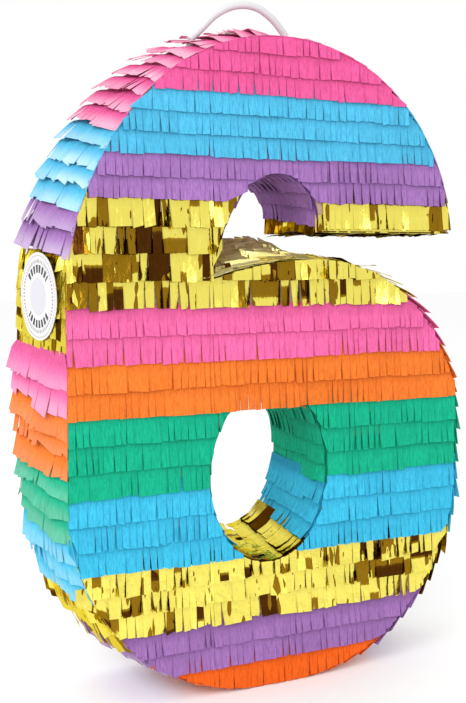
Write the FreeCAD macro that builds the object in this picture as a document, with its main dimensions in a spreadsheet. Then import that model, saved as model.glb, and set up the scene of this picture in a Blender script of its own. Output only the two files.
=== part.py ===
import FreeCAD, Part
import math
import os
import Sketcher

# A numeral-six pinata: a cardboard box cut as a figure 6, covered with rows of fringed
# tissue and foil, with a cord loop to hang it by and a door in its left wall to fill it.
# Millimetres. +X to the reader's right, +Y to the back, +Z up. The origin is on the
# floor under the middle of the bounding box.

SIZES = [
    ("mid_x", 2.64, "moves the figure so that the whole part is centred on X"),
    ("box_depth", 70.0, "outside depth of the cardboard box"),
    ("panel_thick", 3.0, "front and back panels"),
    ("wall_thick", 2.5, "cardboard strips of the walls"),
    ("left_edge", -142.0, "straight left side of the figure"),
    ("right_edge", 140.0, "straight right side of the bowl"),
    ("base_level", 2.0, "underside of the cardboard"),
    ("lower_left_radius", 130.0, ""),
    ("lower_right_radius", 126.0, ""),
    ("upper_right_radius", 112.0, ""),
    ("bowl_top", 279.0, "top of the bowl, the ledge under the notch"),
    ("ledge_start_x", 27.0, "the ledge falls away to the left of here"),
    ("ledge_radius", 228.0, ""),
    ("stroke_level", 250.0, "the left side starts to curve here"),
    ("stroke_centre_x", 46.0, "centre of the long left curve"),
    ("crown_radius", 130.0, "top curve"),
    ("crown_turn", 137.8, "degrees, where the top curve meets the left curve"),
    ("notch_left", -47.7, "deepest point of the notch"),
    ("notch_centre_x", -1.5, ""),
    ("notch_centre_z", 305.0, ""),
    ("notch_radius", 30.0, "arch over the notch"),
    ("notch_turn", 140.0, "degrees, where the arch meets the long curve down its left side"),
    ("terminal_level", 298.0, "flat end of the top stroke"),
    ("hole_centre_x", -6.5, ""),
    ("hole_centre_z", 141.0, ""),
    ("hole_half_width", 43.5, ""),
    ("hole_half_height", 58.5, ""),
    ("face_fringe", 3.0, "fringe on the front and the back"),
    ("face_fringe_root", 0.9, "a row where it is glued"),
    ("face_overhang", 2.0, "the face fringe passes the cardboard edge by this much"),
    ("side_fringe", 7.0, "fringe round the outside"),
    ("inner_fringe", 3.0, "fringe in the hole and the notch"),
    ("hole_orange_level", 185.0, "lowest level of the orange fringe in the hole"),
    ("hole_green_level", 131.0, ""),
    ("hole_blue_level", 95.0, ""),
    ("notch_purple_level", 305.0, "lowest level of the purple fringe in the notch"),
    ("ledge_fringe_level", 286.0, "top of the fringe that lies on the ledge"),
    ("row_gap", 0.3, "between one fringe row and the next"),
    ("foot_level", 0.5, "lowest face fringe tabs"),
    ("door_level", 257.0, "centre of the filling door and its label"),
    ("door_radius", 28.0, ""),
    ("door_top", 286.0, "fold line of the door"),
    ("kerf", 0.4, "cut round the door"),
    ("door_swing_room", 16.0, "fringe kept clear above the fold line"),
    ("label_radius", 27.0, ""),
    ("label_thick", 0.8, ""),
    ("label_tilt", 7.5, "degrees, the label turns to the front with the fluff under it"),
    ("label_x", -147.96, "back of the label at its centre"),
    ("cord_diameter", 4.8, "hanging loop"),
    ("cord_hole_diameter", 6.0, ""),
    ("tail_gap", 2.9, "from the bend of the loop down to its tails"),
    ("knot_diameter", 11.0, ""),
    ("patch_thick", 2.0, "cardboard patch under the cord holes"),
    ("patch_left", -66.0, ""),
    ("patch_right", 43.0, ""),
    ("patch_low", 380.0, ""),
    ("patch_inset", 10.0, "patch stops this far from the panels"),
    ("drill_below", 40.0, "cord holes start this far under the exits of the loop"),
    ("drill_length", 60.0, ""),
    ("knot_seat", 0.8, "share of a knot's radius that its tail reaches over the knot's centre"),
    ("base_wall_top", 30.0, "the walls are strips that butt together at these places"),
    ("left_wall_top", 335.0, ""),
    ("ledge_wall_low", 210.0, ""),
    ("ledge_wall_end", 60.0, ""),
    ("notch_wall_top", 345.0, ""),
    ("inner_left", -60.0, "stretch round the notch that the inner fringe covers"),
    ("inner_right", 60.0, ""),
    ("inner_low", 255.0, ""),
    ("inner_step", 290.0, "the ledge's share is under this level, the arch's above"),
    ("arch_right", 40.0, ""),
    ("terminal_right", 160.0, ""),
    ("terminal_low", 284.0, ""),
    ("slack", 1.0, "cutting boxes pass the faces that they don't cut by this much"),
    ("hair", 0.01, "keeps a cutting plane just off a face"),
    ("far", 200.0, "half size of the boxes that pick out a stretch of wall"),
]

# Bands of colour from the top down: name, rows, lowest level on the faces, on the sides.
BANDS = [
    ("01_pink", 3, 381.5, 358.0),
    ("02_blue", 3, 342.5, 311.0),
    ("03_purple", 2, 315.5, 283.5),
    ("04_gold", 4, 249.5, 220.0),
    ("05_pink", 2, 216.0, 192.0),
    ("06_orange", 2, 183.5, 152.0),
    ("07_green", 3, 135.5, 115.0),
    ("08_blue", 3, 87.5, 75.0),
    ("09_gold", 3, 46.5, 40.0),
    ("10_purple", 2, 17.5, 13.0),
    ("11_orange", 1, 0.0, 0.0),
]

# Route of the hanging loop in the plane Y = 0: bend at the left exit, over, right exit.
LOOP_ROUTE = [
    (-46.5, 419.5),
    (-39.0, 426.2),
    (-28.0, 437.8),
    (-14.0, 444.6),
    (1.0, 445.2),
    (12.0, 439.3),
    (18.8, 433.0),
    (23.6, 427.3),
]

# An arc of the loop uses this share of the shorter of its two runs.
ARC_SHARE = 0.45

document = FreeCAD.newDocument("pinata_six")
sheet = document.addObject("Spreadsheet::Sheet", "sizes")
parts = []


def fill_sheet():
    """Writes every driving size to the sheet, one named cell each."""
    rows = list(SIZES)
    for name, count, face_level, side_level in BANDS:
        rows.append(("face_level_" + name[3:] + "_band" + name[:2], face_level, "band " + name))
        rows.append(("side_level_" + name[3:] + "_band" + name[:2], side_level, "band " + name))
    for number, (alias, value, note) in enumerate(rows, start=1):
        sheet.set("A%d" % number, alias)
        sheet.set("B%d" % number, str(value))
        sheet.setAlias("B%d" % number, alias)
        sheet.set("C%d" % number, note)
    document.recompute()


def size(alias):
    return float(sheet.get(alias))


def point(x, z, y=0.0):
    return FreeCAD.Vector(x, y, z)


def arc(centre, radius, start, end):
    """Arc in the XZ plane, angles in degrees from +X towards +Z."""
    ends = []
    for angle in (start, (start + end) / 2, end):
        turn = math.radians(angle)
        ends.append(point(centre[0] + radius * math.cos(turn), centre[1] + radius * math.sin(turn)))
    return Part.Arc(*ends)


def line(x1, z1, x2, z2):
    return Part.LineSegment(point(x1, z1), point(x2, z2))


def corner_centre(edge, level, radius, aside, up):
    """Centre of a rounded corner, one radius in from an upright edge and a level."""
    return (size(edge) + aside * size(radius), size(level) + up * size(radius))


def crown_centre():
    """The top curve lies inside the long left curve and meets it without a corner."""
    gap = size("stroke_centre_x") - size("left_edge") - size("crown_radius")
    turn = math.radians(size("crown_turn"))
    return (size("stroke_centre_x") + gap * math.cos(turn), size("stroke_level") + gap * math.sin(turn))


def notch_side():
    """Centre and radius of the long curve that meets the arch of the notch without a corner."""
    turn = math.radians(size("notch_turn"))
    arch = size("notch_radius")
    radius = (size("notch_centre_x") - size("notch_left") + arch * math.cos(turn)) / (1 + math.cos(turn))
    gap = radius - arch
    centre = (size("notch_centre_x") - gap * math.cos(turn), size("notch_centre_z") - gap * math.sin(turn))
    return centre, radius


def direction(centre, place):
    """Angle of a point seen from a centre, in degrees."""
    return math.degrees(math.atan2(place[1] - centre[1], place[0] - centre[0]))


def circles_meet(first, first_radius, second, second_radius):
    """The left one of the two points where two circles cross."""
    apart = math.dist(first, second)
    along = (apart ** 2 + first_radius ** 2 - second_radius ** 2) / (2 * apart)
    aside = math.sqrt(first_radius ** 2 - along ** 2)
    way = ((second[0] - first[0]) / apart, (second[1] - first[1]) / apart)
    middle = (first[0] + way[0] * along, first[1] + way[1] * along)
    return min((middle[0] + side * aside * way[1], middle[1] - side * aside * way[0]) for side in (-1, 1))


def figure_curves(grow=0.0):
    """Outline of the figure 6, moved outwards by grow, anticlockwise from its base."""
    low = size("base_level") - grow
    left = size("left_edge") - grow
    right = size("right_edge") + grow
    ledge = size("bowl_top") + grow
    terminal = size("terminal_level") - grow
    lower_left = corner_centre("left_edge", "base_level", "lower_left_radius", 1, 1)
    lower_right = corner_centre("right_edge", "base_level", "lower_right_radius", -1, 1)
    upper_right = corner_centre("right_edge", "bowl_top", "upper_right_radius", -1, -1)
    ledge_centre = (size("ledge_start_x"), size("bowl_top") - size("ledge_radius"))
    ledge_radius = size("ledge_radius") + grow
    notch_centre = (size("notch_centre_x"), size("notch_centre_z"))
    notch_radius = size("notch_radius") - grow
    notch_right = notch_centre[0] + notch_radius
    side_centre, side_radius = notch_side()
    side_radius -= grow
    foot = circles_meet(ledge_centre, ledge_radius, side_centre, side_radius)
    ledge_turn = direction(ledge_centre, foot)
    foot_turn = direction(side_centre, foot) % 360
    crown = crown_centre()
    crown_radius = size("crown_radius") + grow
    crown_start = math.degrees(math.asin((terminal - crown[1]) / crown_radius))
    terminal_right = crown[0] + crown_radius * math.cos(math.radians(crown_start))
    stroke_centre = (size("stroke_centre_x"), size("stroke_level"))
    stroke_radius = stroke_centre[0] - left
    curves = [
        line(lower_left[0], low, lower_right[0], low),
        arc(lower_right, size("lower_right_radius") + grow, -90, 0),
        line(right, lower_right[1], right, upper_right[1]),
        arc(upper_right, size("upper_right_radius") + grow, 0, 90),
        line(upper_right[0], ledge, ledge_centre[0], ledge),
        arc(ledge_centre, ledge_radius, 90, ledge_turn),
        arc(side_centre, side_radius, foot_turn, size("notch_turn")),
        arc(notch_centre, notch_radius, size("notch_turn"), 0),
        line(notch_right, notch_centre[1], notch_right, terminal),
        line(notch_right, terminal, terminal_right, terminal),
        arc(crown, crown_radius, crown_start, size("crown_turn")),
        arc(stroke_centre, stroke_radius, size("crown_turn"), 180),
        line(left, stroke_centre[1], left, lower_left[1]),
        arc(lower_left, size("lower_left_radius") + grow, 180, 270),
    ]
    return curves


def hole_curve(grow=0.0):
    """Ellipse of the hole in the bowl; the cardboard growing by grow makes it smaller."""
    centre = point(size("hole_centre_x"), size("hole_centre_z"))
    tall = centre + point(0, size("hole_half_height") - grow)
    wide = centre + point(size("hole_half_width") - grow, 0)
    return Part.Ellipse(tall, wide, centre)


def wire_of(curves):
    return Part.Wire([curve.toShape() for curve in curves])


def prism(wire, front, back):
    """Solid between the planes Y = front and Y = back."""
    face = Part.Face(wire)
    face.translate(FreeCAD.Vector(0, front, 0))
    return face.extrude(FreeCAD.Vector(0, back - front, 0))


def figure_solid(grow, front, back):
    """The figure 6 without its hole, as a block."""
    return prism(wire_of(figure_curves(grow)), front, back)


def hole_solid(grow, front, back):
    return prism(Part.Wire([hole_curve(grow).toShape()]), front, back)


def block(x, y, z):
    """Box between the pairs of levels x, y and z."""
    corner = FreeCAD.Vector(x[0], y[0], z[0])
    return Part.makeBox(x[1] - x[0], y[1] - y[0], z[1] - z[0], corner)


def solids_only(shape):
    """One compound of the closed solids in a shape."""
    return Part.makeCompound([solid for solid in shape.Solids if solid.Volume > 1.0])


def keep(item, name):
    """Names a finished sub-part and moves it with the figure."""
    item.Label = name
    item.setExpression("Placement.Base.x", "sizes.mid_x")
    parts.append(item)
    return item


def helper(name, shape):
    """A blank or a cutter that other features use; it isn't a sub-part."""
    item = document.addObject("Part::Feature", name + "_blank")
    item.Shape = shape
    return item


def feature(name, shape):
    item = document.addObject("Part::Feature", name)
    item.Shape = solids_only(shape)
    return keep(item, name)


def region_box(name, x, y, z):
    """Part::Box whose six limits are expressions on the sheet."""
    item = document.addObject("Part::Box", name + "_region")
    for field, low, high in (("Length", x[0], x[1]), ("Width", y[0], y[1]), ("Height", z[0], z[1])):
        item.setExpression(field, "(%s) - (%s)" % (high, low))
    for axis, low in (("x", x[0]), ("y", y[0]), ("z", z[0])):
        item.setExpression("Placement.Base." + axis, low)
    return item


def common(name, base, tool):
    item = document.addObject("Part::Common", name)
    item.Base = base
    item.Tool = tool
    return item


def cut(name, base, tool):
    item = document.addObject("Part::Cut", name)
    item.Base = base
    item.Tool = tool
    return item


def origin_plane(body, role):
    return next(item for item in body.Origin.OriginFeatures if item.Role == role)


def make_panel(name, back_face):
    """Cardboard panel: the figure with its hole, padded towards -Y from back_face."""
    body = document.addObject("PartDesign::Body", name)
    sketch = body.newObject("Sketcher::SketchObject", name + "_outline")
    sketch.AttachmentSupport = [(origin_plane(body, "XZ_Plane"), "")]
    sketch.MapMode = "FlatFace"
    flat = FreeCAD.Placement(point(0, 0), FreeCAD.Rotation(FreeCAD.Vector(1, 0, 0), -90)).toMatrix()
    for curve in figure_curves() + [hole_curve()]:
        drawn = curve.copy()
        drawn.transform(flat)
        sketch.addGeometry(drawn)
    pad = body.newObject("PartDesign::Pad", name + "_pad")
    pad.Profile = sketch
    pad.setExpression("Length", "sizes.panel_thick")
    body.Tip = pad
    body.setExpression("Placement.Base.y", back_face)
    return keep(body, name)


def wall_ring():
    """The whole outside wall as one band inside the outline, between the panels."""
    half = size("box_depth") / 2 - size("panel_thick")
    ring = figure_solid(0, -half, half).cut(figure_solid(-size("wall_thick"), -half, half))
    return helper("wall_ring", ring)


def door_outline(radius, top):
    """Door seen from the left: round below, square at the fold line."""
    middle = size("door_level")
    corner = FreeCAD.Vector(0, radius, middle)
    lowest = FreeCAD.Vector(0, 0, middle - radius)
    other = FreeCAD.Vector(0, -radius, middle)
    high = FreeCAD.Vector(0, 0, top - middle)
    return Part.Wire([
        Part.Arc(corner, lowest, other).toShape(),
        Part.LineSegment(other, other + high).toShape(),
        Part.LineSegment(other + high, corner + high).toShape(),
        Part.LineSegment(corner + high, corner).toShape(),
    ])


def door_cutter(radius, top):
    """Door outline drawn through the left side of the figure."""
    face = Part.Face(door_outline(radius, top))
    face.translate(FreeCAD.Vector(-size("far"), 0, 0))
    return face.extrude(FreeCAD.Vector(size("far") / 2, 0, 0))


def cord_holes():
    """Upright drills through the crown at the two exits of the loop."""
    radius = size("cord_hole_diameter") / 2
    drills = []
    for x, z in (LOOP_ROUTE[0], LOOP_ROUTE[-1]):
        base = point(x, z - size("drill_below"))
        drills.append(Part.makeCylinder(radius, size("drill_length"), base))
    return Part.makeCompound(drills)


def make_walls():
    """Cardboard strips of the outside wall, and the sleeve of the hole."""
    ring = wall_ring()
    depth = ("-sizes.box_depth / 2", "sizes.box_depth / 2")
    west = "sizes.notch_left - sizes.wall_thick - sizes.slack"
    notch_end = "sizes.notch_centre_x + sizes.notch_radius + sizes.wall_thick + sizes.hair"
    over_terminal = "sizes.terminal_level + sizes.wall_thick"
    over_ledge = "sizes.bowl_top + sizes.slack"
    base_top = "sizes.base_wall_top"
    ledge_end = "sizes.ledge_wall_end"
    notch_top = "sizes.notch_wall_top"
    strips = [
        ("base_wall", ("-sizes.far", "sizes.far"), ("0", base_top)),
        ("right_wall", (ledge_end, "sizes.far"), (base_top, over_ledge)),
        ("left_wall", ("-sizes.far", west), (base_top, "sizes.left_wall_top")),
        ("ledge_wall", (west, ledge_end), ("sizes.ledge_wall_low", over_ledge)),
        ("notch_wall", (west, notch_end), (over_ledge, notch_top)),
        ("terminal_wall", (notch_end, "sizes.far"), (over_ledge, over_terminal)),
    ]
    for name, x, z in strips:
        region = region_box(name, x, depth, z)
        if name == "left_wall":
            strip = common("left_wall_strip", ring, region)
            door = helper("door_opening", door_cutter(size("door_radius") + size("kerf"), size("door_top")))
            keep(cut(name, strip, door), name)
        else:
            keep(common(name, ring, region), name)
    drills = helper("cord_holes", cord_holes())
    crown_walls = [
        ("crown_left_wall", ("-sizes.far", "0"), ("-sizes.far", west), "sizes.left_wall_top"),
        ("crown_right_wall", ("0", "sizes.far"), (notch_end, "sizes.far"), over_terminal),
    ]
    for name, top_x, side_x, low in crown_walls:
        top = region_box(name + "_top", top_x, depth, (notch_top, "sizes.far * 3"))
        side = region_box(name + "_side", side_x, depth, (low, notch_top))
        region = document.addObject("Part::MultiFuse", name + "_region")
        region.Shapes = [top, side]
        keep(cut(name, common(name + "_strip", ring, region), drills), name)
    half = size("box_depth") / 2 - size("panel_thick")
    sleeve = hole_solid(-size("wall_thick"), -half, half).cut(hole_solid(0, -half, half))
    feature("hole_wall", sleeve)


def make_patch():
    """Second layer of cardboard under the crown, where the knots pull."""
    thick = size("wall_thick")
    half = size("box_depth") / 2 - size("panel_thick") - size("patch_inset")
    layer = figure_solid(-thick, -half, half).cut(figure_solid(-thick - size("patch_thick"), -half, half))
    height = (size("patch_low"), size("patch_low") + size("far"))
    span = block((size("patch_left"), size("patch_right")), (-half, half), height)
    feature("loop_patch", layer.common(span).cut(cord_holes()))


def face_rows(band, top, bottom, blank):
    """Rows of fringe on the front: shallow wedges, each thickest at its cut ends."""
    root = -size("box_depth") / 2
    count = band[1]
    pitch = (top - bottom) / count
    rows = []
    for row in range(count):
        high = top - row * pitch
        low = high - pitch + size("row_gap")
        profile = Part.makePolygon([
            FreeCAD.Vector(-size("far"), root, high),
            FreeCAD.Vector(-size("far"), root, low),
            FreeCAD.Vector(-size("far"), root - size("face_fringe"), low),
            FreeCAD.Vector(-size("far"), root - size("face_fringe_root"), high),
            FreeCAD.Vector(-size("far"), root, high),
        ])
        bar = Part.Face(profile).extrude(FreeCAD.Vector(2 * size("far"), 0, 0))
        rows += bar.common(blank).Solids
    return Part.makeCompound(rows)


def make_face_fringes():
    """Eleven bands on the front, and the same on the back."""
    grow = size("face_overhang")
    root = -size("box_depth") / 2
    front = root - size("face_fringe") - size("slack")
    blank = figure_solid(grow, front, root).cut(hole_solid(grow, front, root))
    top = crown_centre()[1] + size("crown_radius") + grow
    for band in BANDS:
        bottom = max(band[2], size("foot_level"))
        rows = face_rows(band, top, bottom, blank)
        feature("front_fringe_" + band[0], rows)
        feature("back_fringe_" + band[0], rows.mirror(point(0, 0), FreeCAD.Vector(0, 1, 0)))
        top = bottom


def notch_region():
    """Everything round the notch, which the outside fringe leaves to the inner fringe."""
    depth = (-size("box_depth"), size("box_depth"))
    left = size("inner_left")
    middle = size("arch_right")
    step = size("inner_step")
    ledge = block((left, size("inner_right")), depth, (size("inner_low"), step))
    arch = block((left, middle), depth, (step, size("notch_wall_top")))
    terminal = (size("terminal_low"), size("terminal_level"))
    return ledge.fuse([arch, block((middle, size("terminal_right")), depth, terminal)])


def make_side_fringes():
    """Bands of fringe round the outside of the figure, flat where the part stands."""
    half = size("box_depth") / 2
    ring = figure_solid(size("side_fringe"), -half, half).cut(figure_solid(0, -half, half))
    ring = ring.cut(notch_region())
    clear = door_cutter(size("door_radius") + size("kerf"), size("door_top") + size("door_swing_room"))
    ring = ring.cut(clear).cut(cord_holes())
    ring = helper("side_ring", ring)
    span = ("-sizes.far", "sizes.far")
    depth = ("-sizes.box_depth / 2", "sizes.box_depth / 2")
    top = "sizes.far * 3"
    for name, count, face_level, side_level in BANDS:
        level = "sizes.side_level_%s_band%s" % (name[3:], name[:2])
        region = region_box("side_" + name, span, depth, (level + " + sizes.row_gap / 2", top))
        if name == BANDS[-1][0]:
            region.setExpression("Placement.Base.z", "0")
            region.setExpression("Height", top)
        keep(common("side_fringe_" + name, ring, region), "side_fringe_" + name)
        top = level + " - sizes.row_gap / 2"


def make_inner_fringes():
    """Fringe inside the hole and the notch."""
    half = size("box_depth") / 2
    thick = size("inner_fringe")
    sleeve = hole_solid(0, -half, half).cut(hole_solid(thick, -half, half))
    gap = size("row_gap")
    far = size("far")
    high = size("hole_centre_z") + size("hole_half_height")
    for colour in ("orange", "green", "blue"):
        low = size("hole_%s_level" % colour)
        slab = block((-far, far), (-half, half), (low + gap, high))
        feature("hole_fringe_" + colour, sleeve.common(slab))
        high = low
    low = size("hole_centre_z") - size("hole_half_height")
    feature("hole_fringe_gold", sleeve.common(block((-far, far), (-half, half), (low, high))))
    lining = figure_solid(thick, -half, half).cut(figure_solid(0, -half, half)).common(notch_region())
    arch = size("notch_purple_level")
    ledge = size("ledge_fringe_level")
    edge = size("inner_left")
    pieces = [
        ("notch_fringe_purple", (edge, size("arch_right")), (arch, size("notch_wall_top"))),
        ("notch_fringe_gold", (edge, 0), (ledge, arch - gap)),
        ("terminal_fringe_gold", (0, size("terminal_right")), (ledge, arch - gap)),
        ("ledge_fringe_gold", (edge, size("inner_right")), (size("inner_low"), ledge - gap)),
    ]
    for name, span, height in pieces:
        feature(name, lining.common(block(span, (-half, half), height)))


def label_placement():
    """Plane of the label, leaning back about Z, with its own Z pointing out of the figure."""
    turn = FreeCAD.Rotation(FreeCAD.Vector(0, 0, 1), size("label_tilt"))
    turn = turn.multiply(FreeCAD.Rotation(FreeCAD.Vector(0, 1, 0), -90))
    return FreeCAD.Placement(point(size("label_x"), size("door_level")), turn)


def make_door():
    """The cut piece of wall, the foil fringe on it and the round label on the foil."""
    half = size("box_depth") / 2 - size("panel_thick")
    top = size("door_top") - size("kerf")
    cutter = door_cutter(size("door_radius"), top)
    wall = figure_solid(0, -half, half).cut(figure_solid(-size("wall_thick"), -half, half))
    feature("fill_flap", wall.common(cutter))
    reach = 2 * size("door_radius")
    behind = block((-reach, reach), (-reach, reach), (-size("far"), 0))
    behind.Placement = label_placement().multiply(behind.Placement)
    foil_top = top - size("kerf")
    foil = door_cutter(size("door_radius"), foil_top).cut(figure_solid(0, -half, half)).common(behind)
    feature("flap_fringe", foil)


def make_label():
    """Round paper sticker, in a body of its own."""
    body = document.addObject("PartDesign::Body", "fill_label")
    sketch = body.newObject("Sketcher::SketchObject", "fill_label_outline")
    sketch.AttachmentSupport = [(origin_plane(body, "XY_Plane"), "")]
    sketch.MapMode = "FlatFace"
    disc = Part.Circle(point(0, 0), FreeCAD.Vector(0, 0, 1), size("label_radius"))
    sketch.addGeometry(disc)
    sketch.addConstraint(Sketcher.Constraint("Coincident", 0, 3, -1, 1))
    radius = sketch.addConstraint(Sketcher.Constraint("Radius", 0, size("label_radius")))
    sketch.setExpression("Constraints[%d]" % radius, "sizes.label_radius")
    pad = body.newObject("PartDesign::Pad", "fill_label_pad")
    pad.Profile = sketch
    pad.setExpression("Length", "sizes.label_thick")
    body.Tip = pad
    body.Placement = label_placement()
    body.setExpression("Placement.Base.x", "sizes.label_x + sizes.mid_x")
    body.Label = "fill_label"
    parts.append(body)


def corner_arc(before, corner, after):
    """Tangent arc at a corner of the route, as large as its two runs allow."""
    back = before - corner
    ahead = after - corner
    turn = math.pi - back.getAngle(ahead)
    reach = ARC_SHARE * min(back.Length, ahead.Length)
    radius = reach / math.tan(turn / 2)
    start = corner + back.normalize() * reach
    end = corner + ahead.normalize() * reach
    inwards = (back + ahead).normalize()
    middle = corner + inwards * (radius / math.cos(turn / 2) - radius)
    print("loop bend radius %.1f mm" % radius)
    return start, middle, end


def make_loop():
    """The free arch of the hanging cord, one tube of straight runs and tangent arcs."""
    route = [point(x, z) for x, z in LOOP_ROUTE]
    edges = []
    last = route[0]
    for before, corner, after in zip(route, route[1:], route[2:]):
        start, middle, end = corner_arc(before, corner, after)
        edges.append(Part.LineSegment(last, start).toShape())
        edges.append(Part.Arc(start, middle, end).toShape())
        last = end
    edges.append(Part.LineSegment(last, route[-1]).toShape())
    path = Part.Wire(edges)
    radius = size("cord_diameter") / 2
    section = Part.Wire([Part.Circle(route[0], route[1] - route[0], radius).toShape()])
    tube = path.makePipeShell([section], True, True)
    print("loop length %.1f mm, tube %.0f of %.0f mm3"
          % (path.Length, tube.Volume, path.Length * math.pi * radius ** 2))
    feature("hanging_loop", tube)


def make_tails():
    """Ends of the cord inside the fringe and the crown, each with a knot under the patch."""
    crown = crown_centre()
    inner_radius = size("crown_radius") - size("wall_thick") - size("patch_thick")
    knot_radius = size("knot_diameter") / 2
    tails = []
    knots = document.addObject("Part::MultiFuse", "loop_knots")
    balls = []
    for side, (x, z) in (("left", LOOP_ROUTE[0]), ("right", LOOP_ROUTE[-1])):
        aside = abs(x - crown[0]) + knot_radius
        centre = crown[1] + math.sqrt(inner_radius ** 2 - aside ** 2) - knot_radius
        top = z - size("tail_gap")
        low = centre + knot_radius * size("knot_seat")
        tails.append(Part.makeCylinder(size("cord_diameter") / 2, top - low, point(x, low)))
        ball = document.addObject("Part::Sphere", "loop_knot_" + side)
        ball.setExpression("Radius", "sizes.knot_diameter / 2")
        ball.Placement.Base = point(x, centre)
        balls.append(ball)
    tails = Part.makeCompound(tails)
    knots.Shapes = balls
    document.recompute()
    keep(knots, "loop_knots")
    feature("loop_tails", tails.cut(knots.Shape))


def check_and_write():
    """Stops on any failed object or bad shape, then writes one file per sub-part."""
    document.recompute()
    for item in document.Objects:
        if "Invalid" in item.State or "Error" in item.State:
            raise RuntimeError("failed object: " + item.Label)
    for item in parts:
        if item.Shape.isNull() or not item.Shape.isValid() or not item.Shape.Solids:
            raise RuntimeError("bad shape: " + item.Label)
    os.makedirs("parts", exist_ok=True)
    whole = FreeCAD.BoundBox()
    for item in parts:
        item.Shape.exportStep("parts/%s.step" % item.Label)
        if not item.Label.startswith(("hanging_loop", "loop_")):
            whole.add(item.Shape.BoundBox)
    print("%d sub-parts" % len(parts))
    print("box without the cord: X %.2f to %.2f, Y %.2f to %.2f, Z %.2f to %.2f"
          % (whole.XMin, whole.XMax, whole.YMin, whole.YMax, whole.ZMin, whole.ZMax))


fill_sheet()
make_panel("front_panel", "sizes.panel_thick - sizes.box_depth / 2")
make_panel("back_panel", "sizes.box_depth / 2")
make_walls()
make_patch()
make_face_fringes()
make_side_fringes()
make_inner_fringes()
make_door()
make_label()
make_loop()
make_tails()
check_and_write()
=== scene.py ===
import math
import random

import bpy
from mathutils import Euler, Matrix, Vector, noise


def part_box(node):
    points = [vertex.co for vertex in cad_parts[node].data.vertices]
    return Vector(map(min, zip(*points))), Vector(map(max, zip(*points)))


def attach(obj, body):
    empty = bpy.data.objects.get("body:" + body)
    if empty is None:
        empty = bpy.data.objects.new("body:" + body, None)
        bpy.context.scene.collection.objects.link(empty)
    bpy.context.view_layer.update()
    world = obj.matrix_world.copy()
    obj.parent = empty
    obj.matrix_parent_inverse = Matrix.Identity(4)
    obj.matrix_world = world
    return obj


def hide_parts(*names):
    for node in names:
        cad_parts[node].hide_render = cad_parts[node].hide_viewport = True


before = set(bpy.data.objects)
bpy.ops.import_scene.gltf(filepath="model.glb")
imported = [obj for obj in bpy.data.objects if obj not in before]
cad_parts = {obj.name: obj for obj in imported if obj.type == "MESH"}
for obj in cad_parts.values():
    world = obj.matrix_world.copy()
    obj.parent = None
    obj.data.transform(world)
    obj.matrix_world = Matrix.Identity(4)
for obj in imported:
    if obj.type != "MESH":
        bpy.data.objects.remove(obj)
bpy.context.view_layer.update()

# ---------------------------------------------------------------- sizes, in metres

MM = 0.001
FACE_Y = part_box("back_panel")[1].y          # outer face of the cardboard, front and back
TAB_WIDTH = 4.9 * MM
PAPER = 0.38 * MM                           # a few layers of tissue
FOIL = 0.14 * MM
OVERLAP = 1.55                              # a tab is this much longer than its row shows
COVERED = 0.38                              # share of a tab that the row above hides
FACE_GROW = 0.5 * MM                        # face tabs reach past the outer edge
INNER_GROW = 0.4 * MM                       # and past the edges of the notch and the hole
SIDE_PITCH = 13.0 * MM
LINING_PITCH = 13.5 * MM

FACE_ROWS = {
    "01_pink": 3, "02_blue": 3, "03_purple": 2, "04_gold": 4, "05_pink": 2, "06_orange": 2,
    "07_green": 3, "08_blue": 3, "09_gold": 3, "10_purple": 2, "11_orange": 1,
}
SLOTS = {
    "01_pink": "tissue_pink", "02_blue": "tissue_blue", "03_purple": "tissue_purple",
    "04_gold": "foil_gold", "05_pink": "tissue_pink_deep", "06_orange": "tissue_orange",
    "07_green": "tissue_green", "08_blue": "tissue_blue_deep", "09_gold": "foil_gold",
    "10_purple": "tissue_purple", "11_orange": "tissue_orange_deep",
}
BANDS = list(FACE_ROWS)
UNDER_FOIL = ("05_pink", "10_purple")       # their first row starts just under the foil tips


# ---------------------------------------------------------------- camera, light and floor

CAMERA_PLACE = (-0.3294, -0.646, 0.282)
CAMERA_LENS = 55.3                          # millimetres, on a sensor 36 mm wide
CAMERA_DOWN = 5.08                          # degrees below the horizon
CAMERA_TURN = -26.1                         # degrees about Z


def make_camera():
    """Left of the figure, level with its upper half, looking slightly down."""
    data = bpy.data.cameras.new("camera")
    data.sensor_width = 36
    data.lens = CAMERA_LENS
    camera = bpy.data.objects.new("camera", data)
    camera.location = CAMERA_PLACE
    camera.rotation_euler = Euler((math.radians(90 - CAMERA_DOWN), 0, math.radians(CAMERA_TURN)))
    bpy.context.scene.collection.objects.link(camera)
    bpy.context.scene.camera = camera


def area_light(name, place, target, size, power, colour=(1, 1, 1)):
    data = bpy.data.lights.new(name, "AREA")
    data.shape = "SQUARE"
    data.size = size
    data.energy = power
    data.color = colour
    light = bpy.data.objects.new(name, data)
    light.location = place
    aim = Vector(target) - Vector(place)
    light.rotation_euler = aim.to_track_quat("-Z", "Y").to_euler()
    bpy.context.scene.collection.objects.link(light)


def make_studio():
    """White surroundings and three soft lights."""
    scene = bpy.context.scene
    scene.view_settings.view_transform = "Standard"
    world = bpy.data.worlds.new("studio")
    world.use_nodes = True
    world.node_tree.nodes["Background"].inputs["Color"].default_value = (1, 1, 1, 1)
    world.node_tree.nodes["Background"].inputs["Strength"].default_value = 1.0
    scene.world = world
    area_light("key", (-1.4, -0.9, 1.3), (0, 0, 0.2), 0.7, 10)
    area_light("fill", (-0.75, -1.25, 0.75), (0, 0, 0.27), 0.9, 8)
    area_light("rim", (-1.3, 0.9, 0.8), (-0.1, 0, 0.25), 0.6, 4)


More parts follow.
